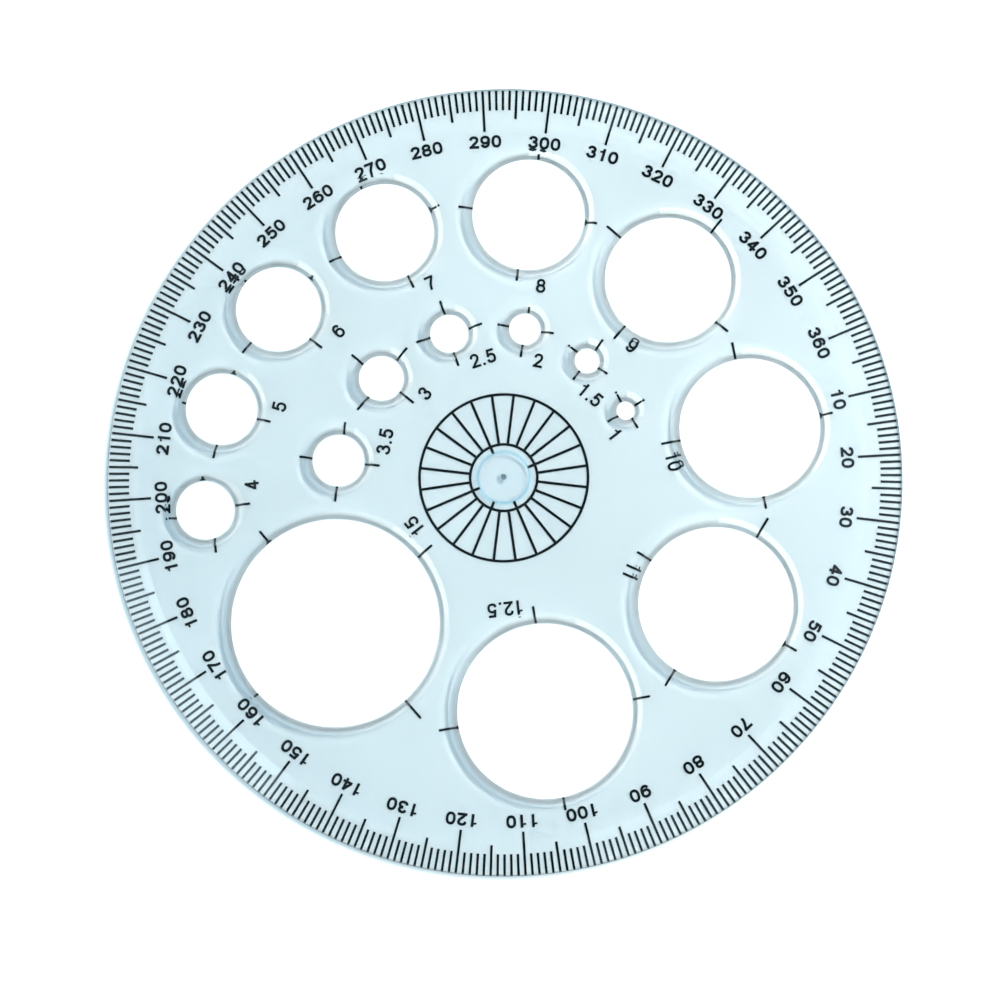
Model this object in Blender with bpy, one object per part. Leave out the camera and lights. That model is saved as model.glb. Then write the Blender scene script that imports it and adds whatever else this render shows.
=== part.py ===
"""Circle template: a clear moulded disc with sixteen drawing holes and a stamped centre rosette.

Frame: origin at the middle of the underside, +Z up through the disc, +Y toward the 0/360 degree mark,
degrees running clockwise seen from above. Dimensions are in millimetres and become metres in MM.
"""

import math

import bmesh
import bpy
from mathutils import Vector
from mathutils.geometry import delaunay_2d_cdt

MM = 0.001

# Plate
PLATE_R = 58.5          # outside radius
PLATE_T = 1.5           # thickness
RIM_BEVEL_R = 53.7      # where the bevelled rim starts
RIM_EDGE_T = 0.8        # thickness left at the outside edge
EDGE_ROUND = 0.12       # small chamfer on the outside edge
PLATE_SEGMENTS = 180

# Drawing holes: (labelled radius, distance of the centre from the disc centre, clockwise angle in degrees)
HOLES = (
    (15.0, 32.6, 162.3), (12.5, 34.9, 103.1), (11.0, 36.3, 54.2), (10.0, 37.0, 11.7),
    (9.0, 38.3, 332.6), (8.0, 39.7, 298.5), (7.0, 41.0, 267.6), (6.0, 42.0, 240.5),
    (5.0, 43.0, 217.3), (4.0, 44.2, 197.2), (3.5, 24.5, 209.6), (3.0, 23.5, 242.9),
    (2.5, 23.1, 272.8), (2.0, 22.5, 301.2), (1.5, 21.4, 328.4), (1.0, 20.6, 354.1),
)
PENCIL_ALLOWANCE = 0.4  # each hole is cut this much over its labelled radius
LIP_T = 0.25            # thin lip beside the pencil
LIP_W = 0.25            # flat width of that lip
SLOPE_W = 1.05          # width of the slope up to the full thickness

# Centre button and pip
BUTTON_R = 4.1
BUTTON_DEPTH = 0.12
BUTTON_SLOPE = 0.4
PIP_R = 0.42
PIP_DEPTH = 0.4

# Stamped rosette, sunk flush into the underside
INK_T = 0.05
LINE_W = 0.4
ROSETTE_R = 12.4        # centre line of the outer ring
ROSETTE_INNER_R = 4.95  # centre line of the inner ring
SPOKES = 24
SPOKE_TIP_R = 3.95      # the marked spokes run on to here
MARKED_SPOKES = (0, 90, 135, 180, 270)


def clear_scene():
    for obj in list(bpy.data.objects):
        bpy.data.objects.remove(obj, do_unlink=True)


def polar(radius, degrees):
    """Point at a clockwise angle from +Y."""
    a = math.radians(degrees)
    return radius * math.sin(a), radius * math.cos(a)


def hole_segments(radius):
    """Facets that keep the chord error of every hole near 0.01 mm."""
    return 4 * round(max(10.0, 5.0 * math.sqrt(radius + 1.0)))


def lathe(bm, profile, segments, centre=(0.0, 0.0)):
    """Add a closed body of revolution with flat round ends; the profile runs from the bottom end to the top."""
    rings = []
    for r, z in profile:
        ring = []
        for k in range(segments):
            x, y = polar(r, -360.0 * k / segments)
            ring.append(bm.verts.new(((centre[0] + x) * MM, (centre[1] + y) * MM, z * MM)))
        rings.append(ring)
    for low, high in zip(rings, rings[1:]):
        for k in range(segments):
            j = (k + 1) % segments
            bm.faces.new((low[k], low[j], high[j], high[k]))
    bm.faces.new(rings[0])
    bm.faces.new(rings[-1])


def bmesh_object(name, build, *args):
    """Run build(bm, ...) and link the mesh it makes."""
    bm = bmesh.new()
    build(bm, *args)
    bmesh.ops.recalc_face_normals(bm, faces=bm.faces)
    mesh = bpy.data.meshes.new(name)
    bm.to_mesh(mesh)
    bm.free()
    obj = bpy.data.objects.new(name, mesh)
    bpy.context.scene.collection.objects.link(obj)
    return obj


def plate_blank(bm):
    c = EDGE_ROUND
    lathe(bm, [
        (PLATE_R - c, 0.0), (PLATE_R, c), (PLATE_R, RIM_EDGE_T - c),
        (PLATE_R - c, RIM_EDGE_T), (RIM_BEVEL_R, PLATE_T),
    ], PLATE_SEGMENTS)


def cutters(bm):
    """Every hole with its stepped lip, and the dished centre button with its pip."""
    grade = (PLATE_T - LIP_T) / SLOPE_W
    for label, distance, angle in HOLES:
        r = label + PENCIL_ALLOWANCE
        lip = r + LIP_W
        lathe(bm, [
            (r, -1.0), (r, LIP_T), (lip, LIP_T), (lip + SLOPE_W + 0.2, PLATE_T + 0.2 * grade),
        ], hole_segments(r), polar(distance, angle))
    floor = PLATE_T - BUTTON_DEPTH
    lathe(bm, [
        (0.1 * PIP_R, floor - PIP_DEPTH), (PIP_R, floor), (BUTTON_R - BUTTON_SLOPE, floor),
        (BUTTON_R + 0.2 * BUTTON_SLOPE / BUTTON_DEPTH, PLATE_T + 0.2),
    ], 56)


def ring_quads(radius, segments):
    """A printed ring as a chain of quads."""
    inner, outer = radius - LINE_W / 2, radius + LINE_W / 2
    step = 360.0 / segments
    return [
        [polar(inner, k * step), polar(inner, (k + 1) * step), polar(outer, (k + 1) * step), polar(outer, k * step)]
        for k in range(segments)
    ]


def spoke_quad(angle, start, end):
    ux, uy = polar(1.0, angle)
    h = LINE_W / 2
    return [
        (start * ux + h * uy, start * uy - h * ux), (end * ux + h * uy, end * uy - h * ux),
        (end * ux - h * uy, end * uy + h * ux), (start * ux - h * uy, start * uy + h * ux),
    ]


def rosette(bm):
    """Union of rings and spokes in the plane, raised to the ink's thickness."""
    shapes = ring_quads(ROSETTE_R, 120) + ring_quads(ROSETTE_INNER_R, 72)
    for k in range(SPOKES):
        angle = 360.0 * k / SPOKES
        start = SPOKE_TIP_R if angle in MARKED_SPOKES else ROSETTE_INNER_R
        shapes.append(spoke_quad(angle, start, ROSETTE_R))
    points, faces = [], []
    for shape in shapes:
        turn = sum(a[0] * b[1] - a[1] * b[0] for a, b in zip(shape, shape[1:] + shape[:1]))
        faces.append(list(range(len(points), len(points) + len(shape))))
        points += [Vector(p) for p in (shape if turn > 0 else reversed(shape))]
    verts, _, triangles, _, _, sources = delaunay_2d_cdt(points, [], faces, 1, 1e-4, True)
    top = [bm.verts.new((v.x * MM, v.y * MM, INK_T * MM)) for v in verts]
    flat = [bm.faces.new([top[i] for i in t]) for t, source in zip(triangles, sources) if source]
    bmesh.ops.delete(bm, geom=[v for v in bm.verts if not v.link_faces], context="VERTS")
    bmesh.ops.dissolve_limit(bm, angle_limit=0.001, verts=bm.verts, edges=bm.edges)
    flat = list(bm.faces)
    raised = bmesh.ops.extrude_face_region(bm, geom=flat, use_keep_orig=True)
    for item in raised["geom"]:
        if isinstance(item, bmesh.types.BMVert):
            item.co.z = 0.0


def subtract(target, *tools):
    """Cut the tools out of the target and keep the result as plain mesh."""
    for tool in tools:
        cut = target.modifiers.new("cut", "BOOLEAN")
        cut.operation = "DIFFERENCE"
        cut.solver = "EXACT"
        cut.object = tool
    graph = bpy.context.evaluated_depsgraph_get()
    mesh = bpy.data.meshes.new_from_object(target.evaluated_get(graph))
    target.modifiers.clear()
    target.data = mesh


def finish(obj, sharp_degrees):
    """Smooth the round faces and keep the real corners."""
    obj.data.shade_smooth()
    obj.data.set_sharp_from_angle(angle=math.radians(sharp_degrees))


def paint(obj, name, colour, roughness, alpha=1.0, ior=1.5):
    mat = bpy.data.materials.new(name)
    mat.use_nodes = True
    shader = mat.node_tree.nodes["Principled BSDF"]
    shader.inputs["Base Color"].default_value = (*colour, 1.0)
    shader.inputs["Roughness"].default_value = roughness
    shader.inputs["Alpha"].default_value = alpha
    shader.inputs["IOR"].default_value = ior
    obj.data.materials.clear()
    obj.data.materials.append(mat)


def main():
    clear_scene()
    plate = bmesh_object("template_plate", plate_blank)
    holes = bmesh_object("hole_cutters", cutters)
    ink = bmesh_object("centre_rosette", rosette)
    subtract(plate, holes, ink)
    bpy.data.objects.remove(holes, do_unlink=True)
    finish(plate, 22.0)
    finish(ink, 22.0)
    paint(plate, "clear_blue_plastic", (0.62, 0.80, 0.88), 0.08, alpha=0.35, ior=1.49)
    paint(ink, "black_stamping_ink", (0.012, 0.016, 0.018), 0.5)


main()
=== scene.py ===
"""Looks for the circle template: a clear pale blue moulding lying print-side down on a white studio floor.

Tables are in millimetres in the part's own frame: origin in the middle of the underside, +Z up, +Y toward
the 0/360 degree mark, angles clockwise in degrees as seen from above.
"""

import math

import bmesh
import bpy
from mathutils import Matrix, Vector
from mathutils.geometry import delaunay_2d_cdt


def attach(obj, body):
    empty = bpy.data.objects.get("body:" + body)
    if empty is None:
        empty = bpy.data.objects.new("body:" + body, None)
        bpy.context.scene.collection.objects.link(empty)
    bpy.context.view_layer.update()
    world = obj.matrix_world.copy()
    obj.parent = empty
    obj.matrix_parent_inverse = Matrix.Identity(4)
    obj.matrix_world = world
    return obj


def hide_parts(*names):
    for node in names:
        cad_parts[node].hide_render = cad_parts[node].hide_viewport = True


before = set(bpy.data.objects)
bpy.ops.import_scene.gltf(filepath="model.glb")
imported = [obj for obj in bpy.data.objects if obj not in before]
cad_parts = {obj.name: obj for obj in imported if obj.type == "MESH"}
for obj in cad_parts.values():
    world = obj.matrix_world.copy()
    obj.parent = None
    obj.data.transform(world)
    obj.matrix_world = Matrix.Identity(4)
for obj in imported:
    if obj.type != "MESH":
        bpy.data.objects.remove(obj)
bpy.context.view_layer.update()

MM = 0.001

# Plate, as in the CAD
PLATE_R = 58.5
PLATE_T = 1.5
RIM_BEVEL_R = 53.7
RIM_EDGE_T = 0.8
LIP_T = 0.25
LIP_W = 0.25
SLOPE_W = 1.05
PENCIL_ALLOWANCE = 0.4
BUTTON_R = 4.1
BUTTON_DEPTH = 0.12
BUTTON_SLOPE = 0.4
PIP_R = 0.42
PIP_DEPTH = 0.4

# The ink stands a hundredth of a millimetre proud of the moulded underside
UNDERSIDE_Z = 0.01
INK_T = 0.05

# Drawing holes: label, distance of the centre from the disc centre, its clockwise angle; then the label's
# clockwise offset, distance from the disc centre and tilt, all in the hole's own radial direction; then the
# lengths of the four centring ticks and their sideways offsets, at -90, 0, 90 and 180 degrees clockwise from
# the direction to the disc centre; then the foot widths of the -90 and 180 degree ticks.
HOLES = (
    ("15", 32.6, 162.3, (3.1, 14.6, 3.0), (2.2, 2.7, 3.5, 1.0), (0.3, 0.65, -0.25, -0.5), (1.1, 0)),
    ("12.5", 34.9, 103.1, (3.1, 19.2, 3.5), (2.9, 2.5, 2.5, 1.9), (-0.15, 0.9, 0.65, -0.35), (0.6, 0)),
    ("11", 36.3, 54.2, (2.25, 23.25, -7.0), (2.8, 2.4, 3.3, 2.2), (0.2, 0.6, 0.1, 0.0), (0.6, 1.1)),
    ("10", 37.0, 11.7, (2.65, 24.95, -3.0), (1.9, 2.9, 2.5, 1.9), (0.2, 0.2, 0.0, 0.35), (0.6, 1.0)),
    ("9", 38.3, 332.6, (2.2, 27.15, 0.0), (2.4, 2.6, 2.7, 2.6), (0.55, 0.55, 0.45, 0.45), (0.6, 0)),
    ("8", 39.7, 298.5, (2.8, 29.05, 0.0), (1.8, 1.8, 2.1, 1.1), (0.5, 0.85, 0.2, 0.65), (1.1, 0)),
    ("7", 41.0, 267.6, (2.75, 31.05, 3.0), (1.6, 2.1, 2.0, 0.6), (-0.1, -0.25, -0.55, -0.3), (1.1, 0)),
    ("6", 42.0, 240.5, (2.65, 32.85, 3.0), (0.9, 2.4, 2.1, 0.4), (1.0, 0.8, 0.2, 0.35), (1.1, 0)),
    ("5", 43.0, 217.3, (2.3, 34.8, -2.0), (0.8, 2.1, 2.1, 0.8), (0.35, 0.2, -0.65, -0.5), (0.9, 0)),
    ("4", 44.2, 197.2, (2.9, 37.05, 0.0), (0.8, 2.2, 2.2, 1.6), (0.0, -0.2, -0.95, -0.75), (0.9, 0)),
    ("3.5", 24.5, 209.6, (3.45, 18.05, 3.5), (1.8, 2.2, 2.3, 1.9), (0.3, 0.2, -0.2, -0.15), (0.5, 0)),
    ("3", 23.5, 242.9, (2.25, 17.05, 0.0), (2.4, 2.7, 2.6, 2.2), (0.05, -0.1, -0.35, -0.2), (0.5, 0)),
    ("2.5", 23.1, 272.8, (3.3, 17.8, 2.5), (2.1, 2.2, 2.2, 2.1), (0.35, 0.45, 0.4, 0.35), (0.5, 0)),
    ("2", 22.5, 301.2, (2.6, 18.0, 3.0), (1.9, 1.9, 1.7, 1.2), (0.15, 0.05, 0.05, 0.15), (0, 0)),
    ("1.5", 21.4, 328.4, (3.3, 17.4, 4.5), (1.7, 1.7, 1.7, 1.9), (0.0, 0.05, 0.2, 0.1), (0, 0)),
    ("1", 20.6, 354.1, (2.35, 17.4, -9.0), (1.8, 1.8, 1.7, 1.7), (-0.2, -0.2, 0.0, 0.0), (0, 0)),
)


def polar(radius, degrees):
    """Point at a clockwise angle from +Y."""
    a = math.radians(degrees)
    return Vector((radius * math.sin(a), radius * math.cos(a)))


# ---------------------------------------------------------------- flat shapes and ink


def bar(start, end, width):
    """Quad along start to end."""
    side = (end - start).normalized().orthogonal() * (width / 2)
    return [start - side, end - side, end + side, start + side]


def ribbon(points, width, closed=False):
    """Chain of mitred quads along a centre line."""
    count = len(points)
    left, right = [], []
    for i, p in enumerate(points):
        before = points[i - 1] if i or closed else p
        after = points[(i + 1) % count] if i < count - 1 or closed else p
        a, b = (p - before), (after - p)
        a = a.normalized() if a.length else b.normalized()
        b = b.normalized() if b.length else a
        normal = (a.orthogonal() + b.orthogonal()).normalized()
        reach = width / 2 / max(0.5, normal.dot(a.orthogonal()))
        left.append(p + normal * reach)
        right.append(p - normal * reach)
    last = count if closed else count - 1
    return [[right[i], right[(i + 1) % count], left[(i + 1) % count], left[i]] for i in range(last)]


def union(shapes):
    """Triangles of the union of flat shapes, as (points, triples)."""
    points, faces = [], []
    for shape in shapes:
        turn = sum(a.cross(b) for a, b in zip(shape, shape[1:] + shape[:1]))
        faces.append(list(range(len(points), len(points) + len(shape))))
        points += shape if turn > 0 else shape[::-1]
    verts, _, triangles, _, _, sources = delaunay_2d_cdt(points, [], faces, 1, 1e-4, True)
    return verts, [t for t, source in zip(triangles, sources) if source]


def raise_ink(bm, flat, place=lambda p: p):
    """Add a flat shape as a closed slab of ink."""
    points, triangles = flat
    used = sorted({i for t in triangles for i in t})
    top = {i: bm.verts.new((*place(points[i]), INK_T)) for i in used}
    low = {i: bm.verts.new((*place(points[i]), 0.0)) for i in used}
    edges = {}
    for a, b, c in triangles:
        bm.faces.new((top[a], top[b], top[c]))
        bm.faces.new((low[c], low[b], low[a]))
        edges.update(dict.fromkeys(((a, b), (b, c), (c, a))))
    for a, b in edges:
        if (b, a) not in edges:
            bm.faces.new((low[a], low[b], top[b], top[a]))


def spline(points, steps=6):
    """Catmull-Rom curve through the points."""
    ends = [points[0] * 2 - points[1], *points, points[-1] * 2 - points[-2]]
    out = []
    for a, b, c, d in zip(ends, ends[1:], ends[2:], ends[3:]):
        for k in range(steps):
            t = k / steps
            bend, twist = a * 2 - b * 5 + c * 4 - d, b * 3 - a - c * 3 + d
            out.append((b * 2 + (c - a) * t + bend * t**2 + twist * t**3) / 2)
    return [*out, points[-1]]


def oval(cx, cy, rx, ry, power=2.3, count=32):
    """Closed superellipse."""
    out = []
    for k in range(count):
        a = 2 * math.pi * k / count
        c, s = math.cos(a), math.sin(a)
        out.append((
            cx + rx * math.copysign(abs(c) ** (2 / power), c),
            cy + ry * math.copysign(abs(s) ** (2 / power), s),
        ))
    return out


# Centre lines of plain sans-serif numerals in a unit box: L straight, S curved, F curved and thin, O closed,
# D dot
SIX = (
    ("O", oval(0.5, 0.315, 0.5, 0.315, 2.15)),
    ("S", ((0.0, 0.34), (0.02, 0.60), (0.17, 0.89), (0.52, 1.0), (0.83, 0.93), (0.95, 0.76))),
)
GLYPHS = {
    "0": (("O", oval(0.5, 0.5, 0.5, 0.5, 2.35)),),
    "1": (("L", ((0.63, 0.0), (0.63, 1.0))), ("F", ((0.60, 0.97), (0.47, 0.82), (0.06, 0.745)))),
    "2": (
        ("S", (
            (0.03, 0.70), (0.13, 0.91), (0.50, 1.0), (0.88, 0.90),
            (0.95, 0.70), (0.79, 0.49), (0.40, 0.25), (0.12, 0.02),
        )),
        ("L", ((0.03, 0.0), (1.0, 0.0))),
    ),
    "3": (
        ("S", (
            (0.05, 0.74), (0.16, 0.92), (0.48, 1.0), (0.83, 0.91), (0.90, 0.745), (0.77, 0.59), (0.45, 0.535),
        )),
        ("S", (
            (0.45, 0.535), (0.85, 0.465), (1.0, 0.27), (0.86, 0.075), (0.48, 0.0), (0.12, 0.08), (0.0, 0.27),
        )),
    ),
    "4": (
        ("L", ((0.72, 0.0), (0.72, 1.0))),
        ("S", ((0.70, 1.02), (0.36, 0.66), (0.02, 0.28))),
        ("L", ((0.03, 0.25), (1.0, 0.25))),
    ),
    "5": (
        ("L", ((0.22, 1.0), (0.90, 1.0))),
        ("S", ((0.22, 1.03), (0.155, 0.74), (0.09, 0.45))),
        ("S", (
            (0.12, 0.49), (0.25, 0.60), (0.52, 0.645), (0.88, 0.55), (1.0, 0.33),
            (0.87, 0.08), (0.47, 0.0), (0.12, 0.08), (0.0, 0.25),
        )),
    ),
    "6": SIX,
    "7": (("L", ((0.02, 1.0), (0.98, 1.0))), ("S", ((1.0, 1.0), (0.68, 0.62), (0.46, 0.30), (0.38, -0.10)))),
    "8": (("O", oval(0.5, 0.765, 0.43, 0.235, 2.15)), ("O", oval(0.5, 0.275, 0.5, 0.275, 2.15))),
    "9": tuple((kind, [(1 - x, 1 - y) for x, y in path]) for kind, path in SIX),
    ".": (("D", ((0.5, 0.0),)),),
}


DOT_HALF = 0.52  # half the side of the point, in strokes
FLAG_STROKE = 0.72  # thickness of the flag of the 1, in strokes
DOUBLE_ONE = 0.89  # how much closer together the two ones of 11 stand


class Lettering:
    """One size of numerals: centre-line width and height, stroke and advance."""

    def __init__(self, width, height, stroke, advance, point_advance=0.0):
        self.advance = {".": point_advance}
        self.width, self.height, self.stroke, self.step = width, height, stroke, advance
        self.flat = {c: union(self.shapes(paths)) for c, paths in GLYPHS.items()}

    def shapes(self, paths):
        out = []
        for kind, path in paths:
            line = [Vector(((x - 0.5) * self.width, (y - 0.5) * self.height)) for x, y in path]
            if kind == "O":
                out += ribbon(line, self.stroke, closed=True)
            elif kind == "L":
                along = (line[1] - line[0]).normalized() * (self.stroke / 2)
                out.append(bar(line[0] - along, line[1] + along, self.stroke))
            elif kind == "D":
                half = Vector((self.stroke * DOT_HALF, 0.0))
                out.append(bar(line[0] - half, line[0] + half, self.stroke * DOT_HALF * 2))
            else:
                out += ribbon(spline(line), self.stroke * (FLAG_STROKE if kind == "F" else 1.0))
        return out

    def write(self, bm, text, place):
        """Raise the text in ink, centred; place turns a point of the text into a point of the disc."""
        steps = [self.advance.get(c, self.step) for c in text]
        if text == "11":
            steps = [self.step * DOUBLE_ONE] * 2
        x = -sum(steps) / 2
        for c, step in zip(text, steps):
            middle = Vector((x + step / 2, 0.0))
            raise_ink(bm, self.flat[c], lambda p: place(p + middle))
            x += step


def on_radius(radius, angle, shift=0.0, tilt=0.0):
    """Placement of upright text whose top points outward."""
    out, across = polar(1.0, angle), polar(1.0, angle + 90.0)
    t = math.radians(tilt)
    c, s = math.cos(t), math.sin(t)
    return lambda p: out * (radius + p.y * c - p.x * s) + across * (shift + p.x * c + p.y * s)


def ink_piece(name, draw):
    """A printed piece, riding on the plate."""
    bm = bmesh.new()
    draw(bm)
    bmesh.ops.recalc_face_normals(bm, faces=bm.faces)
    return finish_piece(name, bm, ink_material)


def finish_piece(name, bm, material):
    bmesh.ops.scale(bm, vec=(MM, MM, MM), verts=bm.verts)
    mesh = bpy.data.meshes.new(name)
    bm.to_mesh(mesh)
    bm.free()
    mesh.materials.append(material)
    obj = bpy.data.objects.new(name, mesh)
    bpy.context.scene.collection.objects.link(obj)
    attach(obj, "root")
    return obj


TICK_OUTER = 58.3
TICK_INNER = {1: 55.25, 5: 53.95, 10: 52.1}
TICK_W = 0.36
TICK_CLEARANCE = 0.03  # between a centring tick and the edge of its hole
FOOT_LIFT = 0.02  # the widened feet of some centring ticks
FOOT_H = 0.3
FOOT_TAPER = 0.55
DEGREE_TEXT_R = 50.58


def degree_lines(bm):
    bars = []
    for degree in range(1, 361):
        inner = TICK_INNER[10 if degree % 10 == 0 else 5 if degree % 5 == 0 else 1]
        bars.append(bar(polar(inner, degree), polar(TICK_OUTER, degree), TICK_W))
    raise_ink(bm, union(bars))


def degree_numerals(bm):
    letters = Lettering(width=1.06, height=1.50, stroke=0.40, advance=1.67)
    for degree in range(10, 361, 10):
        letters.write(bm, str(degree), on_radius(DEGREE_TEXT_R, degree))


def hole_labels(bm):
    letters = Lettering(width=1.04, height=1.76, stroke=0.36, advance=1.5, point_advance=0.93)
    for text, _, angle, (shift, radius, tilt), *_ in HOLES:
        letters.write(bm, text, on_radius(radius, angle, shift, tilt))


def centring_ticks(bm):
    bars = []
    for label, distance, angle, _, lengths, offsets, feet in HOLES:
        edge = float(label) + PENCIL_ALLOWANCE + TICK_CLEARANCE
        centre = polar(distance, angle)
        for turn, length, offset in zip((-90, 0, 90, 180), lengths, offsets):
            out = polar(1.0, angle + 180.0 + turn)
            across = polar(1.0, angle + 270.0 + turn)
            start = math.sqrt(edge**2 - offset**2)
            foot = centre + across * offset
            bars.append(bar(foot + out * start, foot + out * (start + length), TICK_W))
            width = feet[0] if turn == -90 else feet[1] if turn == 180 else 0
            if width:
                aside = abs(offset) + width / 2
                level = math.sqrt(edge**2 - aside**2) if edge > aside else start
                low = foot + out * (max(level, start) + FOOT_LIFT)
                half = across * (width / 2)
                narrow, rise = half * FOOT_TAPER, out * FOOT_H
                bars.append([low - half, low + half, low + narrow + rise, low - narrow + rise])
    raise_ink(bm, union(bars))


# ---------------------------------------------------------------- the moulding


def rounded(corners):
    """Profile through (radius, height, cut, steps) corners, each eased by an arc that starts cut before it.

    Gives (point, direction of travel) pairs.
    """
    at = [Vector(c[:2]) for c in corners]
    way = [(b - a).normalized() for a, b in zip(at, at[1:])]
    out = []
    for i, (_, _, cut, steps) in enumerate(corners):
        if not cut:
            out.append((at[i], way[min(i, len(way) - 1)]))
            continue
        before, after = way[i - 1], way[i]
        sweep = before.angle(after)
        turn = math.copysign(1.0, before.cross(after))
        start = at[i] - before * cut
        middle = start + before.orthogonal() * turn * cut / math.tan(sweep / 2)
        for k in range(steps + 1):
            a = turn * sweep * k / steps
            c, s = math.cos(a), math.sin(a)
            arm = start - middle
            out.append((
                middle + Vector((arm.x * c - arm.y * s, arm.x * s + arm.y * c)),
                Vector((before.x * c - before.y * s, before.x * s + before.y * c)),
            ))
    return out


def revolve(bm, normals, profile, side, segments, centre=Vector((0.0, 0.0)), shaded_rows=()):
    """Strip of revolution, with the shaded rows in the second material, a darker copy of the plastic that
    paints shade; returns its rings of vertices.

    side is 1 or -1: which side of the direction of travel is air. Each vertex adds its normal to normals.
    """
    rings = []
    for (r, z), way in profile:
        ring = []
        for k in range(segments):
            out = polar(1.0, -360.0 * k / segments)
            p = centre + out * r
            ring.append(bm.verts.new((p.x, p.y, z)))
            normals.append((*(out * -way.y * side), way.x * side))
        rings.append(ring)
    for row, (low, high) in enumerate(zip(rings, rings[1:])):
        for k in range(segments):
            j = (k + 1) % segments
            bm.faces.new((low[k], low[j], high[j], high[k])).material_index = int(row in shaded_rows)
    return rings


def flat_between(bm, outer, holes):
    """Flat triangles inside the outer ring and outside the other rings."""
    loops = [outer, *holes]
    verts = [v for loop in loops for v in loop]
    owner = [n for n, loop in enumerate(loops) for _ in loop]
    edges, first = [], 0
    for loop in loops:
        edges += [(first + k, first + (k + 1) % len(loop)) for k in range(len(loop))]
        first += len(loop)
    _, _, triangles, source, _, _ = delaunay_2d_cdt([v.co.xy for v in verts], edges, [], 0, 1e-6, True)
    for t in triangles:
        ids = [source[i][0] for i in t]
        owners = {owner[i] for i in ids}
        if len(owners) > 1 or owners == {0}:
            bm.faces.new([verts[i] for i in ids])


RIM_SEGMENTS = 480
HOLE_SEGMENTS = 192
SMALL_HOLE_SEGMENTS = 112  # for radii up to SMALL_HOLE_R
SMALL_HOLE_R = 5
BUTTON_SEGMENTS = 128

# Rows of each profile in the darker copy of the plastic, which paints the shade of dark lines: the edge of
# the rim, the wall of a hole, the side of the pip
RIM_EDGE_ROWS = range(1, 12)
WALL_ROWS = range(1, 10)
PIP_ROWS = (14,)


def moulding(bm):
    """The plate with its rim, holes and button; returns a normal for each vertex."""
    normals = []
    rim = revolve(bm, normals, rounded([
        (PLATE_R - 0.12, UNDERSIDE_Z, 0, 0),
        (PLATE_R, UNDERSIDE_Z, 0.1, 4),
        (PLATE_R, RIM_EDGE_T, 0.12, 6),
        (RIM_BEVEL_R, PLATE_T, 0.3, 4),
        (RIM_BEVEL_R - 0.4, PLATE_T, 0, 0),
    ]), -1, RIM_SEGMENTS, shaded_rows=RIM_EDGE_ROWS)
    lows, highs = [], []
    for label, distance, angle, *_ in HOLES:
        r = float(label) + PENCIL_ALLOWANCE
        top = r + LIP_W + SLOPE_W
        segments = HOLE_SEGMENTS if r > SMALL_HOLE_R else SMALL_HOLE_SEGMENTS
        rings = revolve(bm, normals, rounded([
            (r + 0.08, UNDERSIDE_Z, 0, 0),
            (r, UNDERSIDE_Z, 0.05, 2),
            (r, LIP_T, 0.06, 6),
            (r + LIP_W, LIP_T, 0.1, 4),
            (top, PLATE_T, 0.1, 4),
            (top + 0.14, PLATE_T, 0, 0),
        ]), 1, segments, polar(distance, angle), shaded_rows=WALL_ROWS)
        lows.append(rings[0])
        highs.append(rings[-1])
    floor = PLATE_T - BUTTON_DEPTH
    button = revolve(bm, normals, rounded([
        (BUTTON_R + 0.3, PLATE_T, 0, 0),
        (BUTTON_R, PLATE_T, 0.06, 4),
        (BUTTON_R - BUTTON_SLOPE, floor, 0.06, 4),
        (PIP_R + 0.1, floor, 0.1, 3),
        (0.05, floor - PIP_DEPTH, 0, 0),
    ]), -1, BUTTON_SEGMENTS, shaded_rows=PIP_ROWS)
    bm.faces.new(button[-1])
    flat_between(bm, rim[0], lows)
    flat_between(bm, rim[-1], [*highs, button[0]])
    bmesh.ops.recalc_face_normals(bm, faces=bm.faces)
    return normals


# ---------------------------------------------------------------- materials


def new_material(name):
    mat = bpy.data.materials.new(name)
    mat.use_nodes = True
    tree = mat.node_tree
    return mat, tree, tree.nodes["Principled BSDF"], tree.nodes["Material Output"]


def node(tree, kind, **values):
    made = tree.nodes.new(kind)
    for key, value in values.items():
        if key in made.inputs:
            made.inputs[key].default_value = value
        else:
            setattr(made, key, value)
    return made


def ramp(tree, source, stops):
    made = tree.nodes.new("ShaderNodeValToRGB")
    while len(made.color_ramp.elements) < len(stops):
        made.color_ramp.elements.new(0.5)
    for element, (position, colour) in zip(made.color_ramp.elements, stops):
        element.position = position
        element.color = colour if len(colour) == 4 else (*colour, 1.0)
    tree.links.new(source, made.inputs["Fac"])
    return made.outputs["Color"]


COLOUR_A, COLOUR_B, COLOUR_RESULT = 6, 7, 2  # the colour sockets of a Mix node


def grey(value):
    return (value, value, value)


PLASTIC_IOR = 1.49
ABSORPTION_COLOUR = (0.36, 0.46, 0.52, 1.0)
ABSORPTION_DENSITY = 215.0  # per metre

# Painted shade of the centre button: its floor a little darker and a dark ring on its edge slope, by distance
# from the middle in centimetres
BUTTON_PAINTED_SHADE = (
    (0.0, (0.975, 0.99, 1.0)), (0.35, (0.97, 0.985, 1.0)), (0.383, (0.58, 0.80, 0.88)),
    (0.392, (0.58, 0.80, 0.88)), (0.418, (1.0, 1.0, 1.0)),
)


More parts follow.
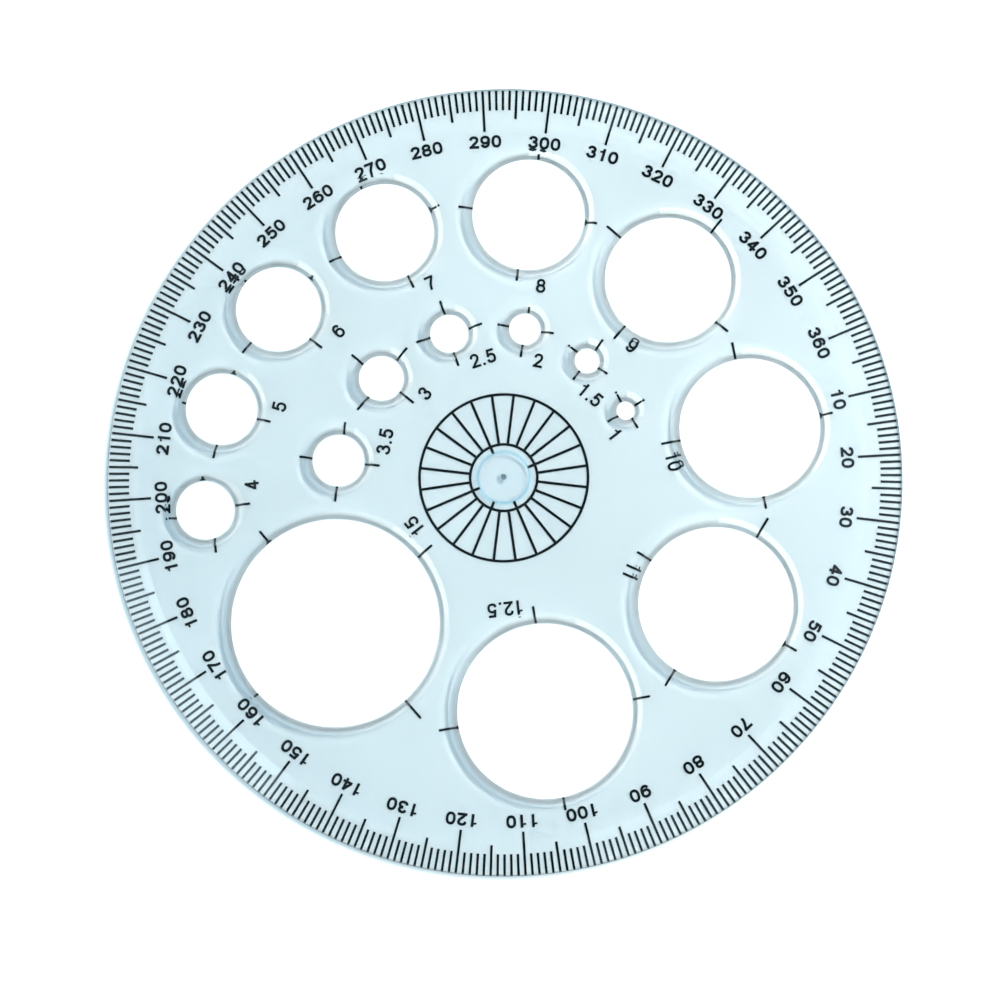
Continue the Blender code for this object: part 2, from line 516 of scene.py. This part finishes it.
def clear_plastic(name, low, high):
    """Clear polished plastic: a pale blue cast from low to high, painted shade at the centre button, faint
    flow waves and light scratches.
    """
    mat, tree, shader, out = new_material(name)
    coords = tree.nodes.new("ShaderNodeTexCoord").outputs["Object"]
    shader.inputs["Transmission Weight"].default_value = 1.0
    shader.inputs["IOR"].default_value = PLASTIC_IOR

    cast = node(tree, "ShaderNodeTexNoise", Scale=38.0, Detail=3.0, Roughness=0.5)
    tree.links.new(coords, cast.inputs["Vector"])
    level = node(tree, "ShaderNodeMapping", Scale=(100.0, 100.0, 0.0))
    tree.links.new(coords, level.inputs["Vector"])
    reach = node(tree, "ShaderNodeVectorMath", operation="LENGTH")
    tree.links.new(level.outputs["Vector"], reach.inputs[0])
    colour = node(tree, "ShaderNodeMix", data_type="RGBA", blend_type="MULTIPLY")
    colour.inputs["Factor"].default_value = 1.0
    tree.links.new(ramp(tree, cast.outputs["Fac"], [(0.3, low), (0.7, high)]), colour.inputs[COLOUR_A])
    # the painted shade of the centre button darkens the cast there
    tree.links.new(ramp(tree, reach.outputs["Value"], BUTTON_PAINTED_SHADE), colour.inputs[COLOUR_B])
    tree.links.new(colour.outputs[COLOUR_RESULT], shader.inputs["Base Color"])

    haze = node(tree, "ShaderNodeTexNoise", Scale=160.0, Detail=5.0, Roughness=0.6)
    tree.links.new(coords, haze.inputs["Vector"])
    haziness = ramp(tree, haze.outputs["Fac"], [(0.4, grey(0.012)), (0.75, grey(0.06))])
    tree.links.new(haziness, shader.inputs["Roughness"])

    waves = node(tree, "ShaderNodeTexNoise", Scale=90.0, Detail=2.0, Roughness=0.4)
    tree.links.new(coords, waves.inputs["Vector"])
    soft = node(tree, "ShaderNodeBump", Strength=0.25, Distance=0.00006)
    tree.links.new(waves.outputs["Fac"], soft.inputs["Height"])
    turned = node(tree, "ShaderNodeMapping", Rotation=(0.0, 0.0, 0.6), Scale=(120.0, 4000.0, 120.0))
    tree.links.new(coords, turned.inputs["Vector"])
    scratches = node(tree, "ShaderNodeTexNoise", Scale=1.0, Detail=2.0, Roughness=0.7)
    tree.links.new(turned.outputs["Vector"], scratches.inputs["Vector"])
    fine = node(tree, "ShaderNodeBump", Strength=0.12, Distance=0.000003)
    depth = ramp(tree, scratches.outputs["Fac"], [(0.62, grey(0.0)), (0.72, grey(1.0))])
    tree.links.new(depth, fine.inputs["Height"])
    tree.links.new(soft.outputs["Normal"], fine.inputs["Normal"])
    tree.links.new(fine.outputs["Normal"], shader.inputs["Normal"])

    tint = node(tree, "ShaderNodeVolumeAbsorption")
    tint.inputs["Color"].default_value = ABSORPTION_COLOUR
    tint.inputs["Density"].default_value = ABSORPTION_DENSITY
    tree.links.new(tint.outputs["Volume"], out.inputs["Volume"])
    return mat


def black_ink():
    """Matt stamping ink, a little uneven where it was laid down."""
    mat, tree, shader, _ = new_material("black_stamping_ink")
    coords = tree.nodes.new("ShaderNodeTexCoord").outputs["Object"]
    patches = node(tree, "ShaderNodeTexNoise", Scale=900.0, Detail=4.0, Roughness=0.6)
    tree.links.new(coords, patches.inputs["Vector"])
    blacks = [(0.35, (0.002, 0.007, 0.009)), (0.75, (0.006, 0.015, 0.019))]
    colour = ramp(tree, patches.outputs["Fac"], blacks)
    tree.links.new(colour, shader.inputs["Base Color"])
    sheen = ramp(tree, patches.outputs["Fac"], [(0.3, grey(0.42)), (0.7, grey(0.62))])
    tree.links.new(sheen, shader.inputs["Roughness"])
    shader.inputs["Specular IOR Level"].default_value = 0.1
    grain = node(tree, "ShaderNodeBump", Strength=0.3, Distance=0.00001)
    tree.links.new(patches.outputs["Fac"], grain.inputs["Height"])
    tree.links.new(grain.outputs["Normal"], shader.inputs["Normal"])
    return mat


# The floor glows slightly beyond the disc, so that low views, which see far out over it, stay pale
FLOOR_GLOW = ((0.10, grey(0.0)), (0.35, grey(0.8)))  # by distance from the middle, m


def floor_material():
    mat, tree, shader, _ = new_material("studio_floor")
    coords = tree.nodes.new("ShaderNodeTexCoord").outputs["Object"]
    mottle = node(tree, "ShaderNodeTexNoise", Scale=3.0, Detail=2.0)
    tree.links.new(coords, mottle.inputs["Vector"])
    colour = ramp(tree, mottle.outputs["Fac"], [(0.3, grey(0.86)), (0.7, grey(0.88))])
    tree.links.new(colour, shader.inputs["Base Color"])
    shader.inputs["Roughness"].default_value = 0.9
    shader.inputs["Specular IOR Level"].default_value = 0.1
    reach = node(tree, "ShaderNodeVectorMath", operation="LENGTH")
    tree.links.new(coords, reach.inputs[0])
    tree.links.new(ramp(tree, reach.outputs["Value"], FLOOR_GLOW), shader.inputs["Emission Strength"])
    shader.inputs["Emission Color"].default_value = (1.0, 1.0, 1.0, 1.0)
    return mat


plastic_material = clear_plastic("clear_blue_plastic", (0.890, 0.905, 0.912), (0.920, 0.935, 0.942))
# a darker copy of the plastic, for painted shade along the rim edge, the hole walls and the pip
edge_shade_material = clear_plastic("clear_blue_plastic_edge_shade", (0.74, 0.85, 0.90), (0.80, 0.90, 0.94))
ink_material = black_ink()

# ---------------------------------------------------------------- pieces

body = bmesh.new()
body_normals = moulding(body)
plate = finish_piece("clear_moulding", body, plastic_material)
plate.data.materials.append(edge_shade_material)
plate.data.shade_smooth()
plate.data.normals_split_custom_set_from_vertices(body_normals)
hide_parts("template_plate")

for piece_name, draw in (
    ("degree_lines", degree_lines),
    ("degree_numerals", degree_numerals),
    ("hole_labels", hole_labels),
    ("centring_ticks", centring_ticks),
):
    ink_piece(piece_name, draw)

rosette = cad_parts["centre_rosette"]
rosette.data.materials.clear()
rosette.data.materials.append(ink_material)

# ---------------------------------------------------------------- studio

FLOOR_GAP = 0.06  # mm, the thickness of the air under the plate
FLOOR_HALF = 2.5  # m

floor_bm = bmesh.new()
bmesh.ops.create_grid(floor_bm, x_segments=8, y_segments=8, size=FLOOR_HALF)
floor_mesh = bpy.data.meshes.new("studio_floor")
floor_bm.to_mesh(floor_mesh)
floor_bm.free()
floor = bpy.data.objects.new("studio_floor", floor_mesh)
floor.location.z = -FLOOR_GAP * MM
floor_mesh.materials.append(floor_material())
bpy.context.scene.collection.objects.link(floor)

# RIGHT and NEAR are level directions as the camera sees them.
RIGHT = Vector((0.392, 0.919, 0.0)).normalized()
NEAR = Vector((0.918, -0.397, 0.0)).normalized()
UP = Vector((0.0, 0.0, 1.0))

# The key softbox, close enough to fall off across the plate
KEY_DIRECTION = (RIGHT * 0.530 + NEAR * -0.306 + UP * 0.791).normalized()
KEY_DISTANCE = 0.40  # m
KEY_SIZE = (0.66, 0.18)  # m
KEY_POWER = 2.5  # W
KEY_COLOUR = (1.0, 0.975, 0.87)

# The rest of the studio is painted on the world. Each part fades between two cosines from its direction.
FILL_COLOUR = (0.66, 0.875, 0.985)
ROOM_LOW, ROOM_HIGH = 0.25, 0.82  # fill near the horizon and overhead
ROOM_FADE = (0.15, 0.6)
CAMERA_SIDE = (RIGHT * -0.02 + NEAR * -0.10 + UP).normalized()  # dark room behind the camera
CAMERA_SIDE_FADE = (0.84, 0.89)
CAMERA_SIDE_LEFT = 0.04  # share of the fill that is left there
SIDE_STRENGTH = 1.1  # screen that the right part of the plate mirrors
SIDE_NEAR_FADE, SIDE_FAR_FADE, SIDE_LOW_FADE = (0.030, 0.052), (0.35, 0.60), (0.6, 0.8)
LEFT_FILL = (RIGHT * -0.75 + UP * 0.66).normalized()
LEFT_FADE = (0.55, 0.97)
LEFT_STRENGTH = 1.1
LAMP = (RIGHT * -0.354 + NEAR * 0.061 + UP).normalized()  # mirrored in the rim bevel at the lower left
LAMP_FADE = (0.989, 0.9936)
LAMP_STRENGTH = 3.0
HORIZON_GLOW = 0.6  # pale walls, which only a low view sees mirrored in the plate
HORIZON_FADE = (0.04, 0.24)


def build_world():
    """Pure white to the camera, and the painted studio to everything else."""
    world = bpy.data.worlds.new("studio")
    world.use_nodes = True
    tree = world.node_tree
    direction = tree.nodes.new("ShaderNodeTexCoord").outputs["Generated"]

    def along(vector):
        dot = node(tree, "ShaderNodeVectorMath", operation="DOT_PRODUCT")
        tree.links.new(direction, dot.inputs[0])
        dot.inputs[1].default_value = vector
        return dot.outputs["Value"]

    def blend(source, start, end, low=0.0, high=1.0):
        soft = tree.nodes.new("ShaderNodeMapRange")
        soft.interpolation_type = "SMOOTHSTEP"
        tree.links.new(source, soft.inputs["Value"])
        for name, value in zip(("From Min", "From Max", "To Min", "To Max"), (start, end, low, high)):
            soft.inputs[name].default_value = value
        return soft.outputs["Result"]

    def math_node(operation, a, b):
        made = node(tree, "ShaderNodeMath", operation=operation)
        for socket, value in zip(made.inputs, (a, b)):
            if isinstance(value, float):
                socket.default_value = value
            else:
                tree.links.new(value, socket)
        return made.outputs["Value"]

    room = blend(along(UP), *ROOM_FADE, ROOM_LOW, ROOM_HIGH)
    total = math_node("MULTIPLY", room, blend(along(CAMERA_SIDE), *CAMERA_SIDE_FADE, 1.0, CAMERA_SIDE_LEFT))
    across = along(RIGHT)
    side = blend(across, *SIDE_NEAR_FADE, 0.0, SIDE_STRENGTH)
    side = math_node("MULTIPLY", side, blend(across, *SIDE_FAR_FADE, 1.0, 0.0))
    side = math_node("MULTIPLY", side, blend(along(UP), *SIDE_LOW_FADE))
    for part in (
        side,
        blend(along(LEFT_FILL), *LEFT_FADE, 0.0, LEFT_STRENGTH),
        blend(along(LAMP), *LAMP_FADE, 0.0, LAMP_STRENGTH),
        blend(along(UP), *HORIZON_FADE, HORIZON_GLOW, 0.0),
    ):
        total = math_node("ADD", total, part)

    seen = tree.nodes.new("ShaderNodeLightPath").outputs["Is Camera Ray"]
    shown = math_node("ADD", math_node("MULTIPLY", total, math_node("SUBTRACT", 1.0, seen)), seen)
    tint = node(tree, "ShaderNodeMix", data_type="RGBA")
    tint.inputs["A"].default_value = (*FILL_COLOUR, 1.0)
    tint.inputs["B"].default_value = (1.0, 1.0, 1.0, 1.0)
    tree.links.new(seen, tint.inputs["Factor"])
    tree.links.new(tint.outputs["Result"], tree.nodes["Background"].inputs["Color"])
    tree.links.new(shown, tree.nodes["Background"].inputs["Strength"])
    bpy.context.scene.world = world


build_world()

key_light = bpy.data.lights.new("key_softbox", "AREA")
key_light.shape = "RECTANGLE"
key_light.size, key_light.size_y = KEY_SIZE
key_light.energy = KEY_POWER
key_light.color = KEY_COLOUR
key = bpy.data.objects.new("key_softbox", key_light)
key.location = KEY_DIRECTION * KEY_DISTANCE
key.rotation_euler = KEY_DIRECTION.to_track_quat("Z", "Y").to_euler()
key.visible_camera = False
key.visible_glossy = False  # or views from the side see it mirrored in the whole plate
bpy.context.scene.collection.objects.link(key)

CAMERA_AT = (0.09033, -0.01679, 0.61233)  # m
CAMERA_TURN = (8.022, 1.919, 66.882)  # degrees
CAMERA_LENS = 151.24  # mm
CAMERA_SENSOR = 36.0  # mm

camera_data = bpy.data.cameras.new("camera")
camera_data.lens = CAMERA_LENS
camera_data.sensor_width = CAMERA_SENSOR
camera_data.clip_start = 0.01
camera_data.clip_end = 20.0
camera = bpy.data.objects.new("camera", camera_data)
camera.location = CAMERA_AT
camera.rotation_euler = [math.radians(a) for a in CAMERA_TURN]
bpy.context.scene.collection.objects.link(camera)
bpy.context.scene.camera = camera

bpy.context.scene.view_settings.view_transform = "Standard"
bpy.context.scene.cycles.blur_glossy = 0.0  # keep the bright and dark bands that the slopes cast on the floor
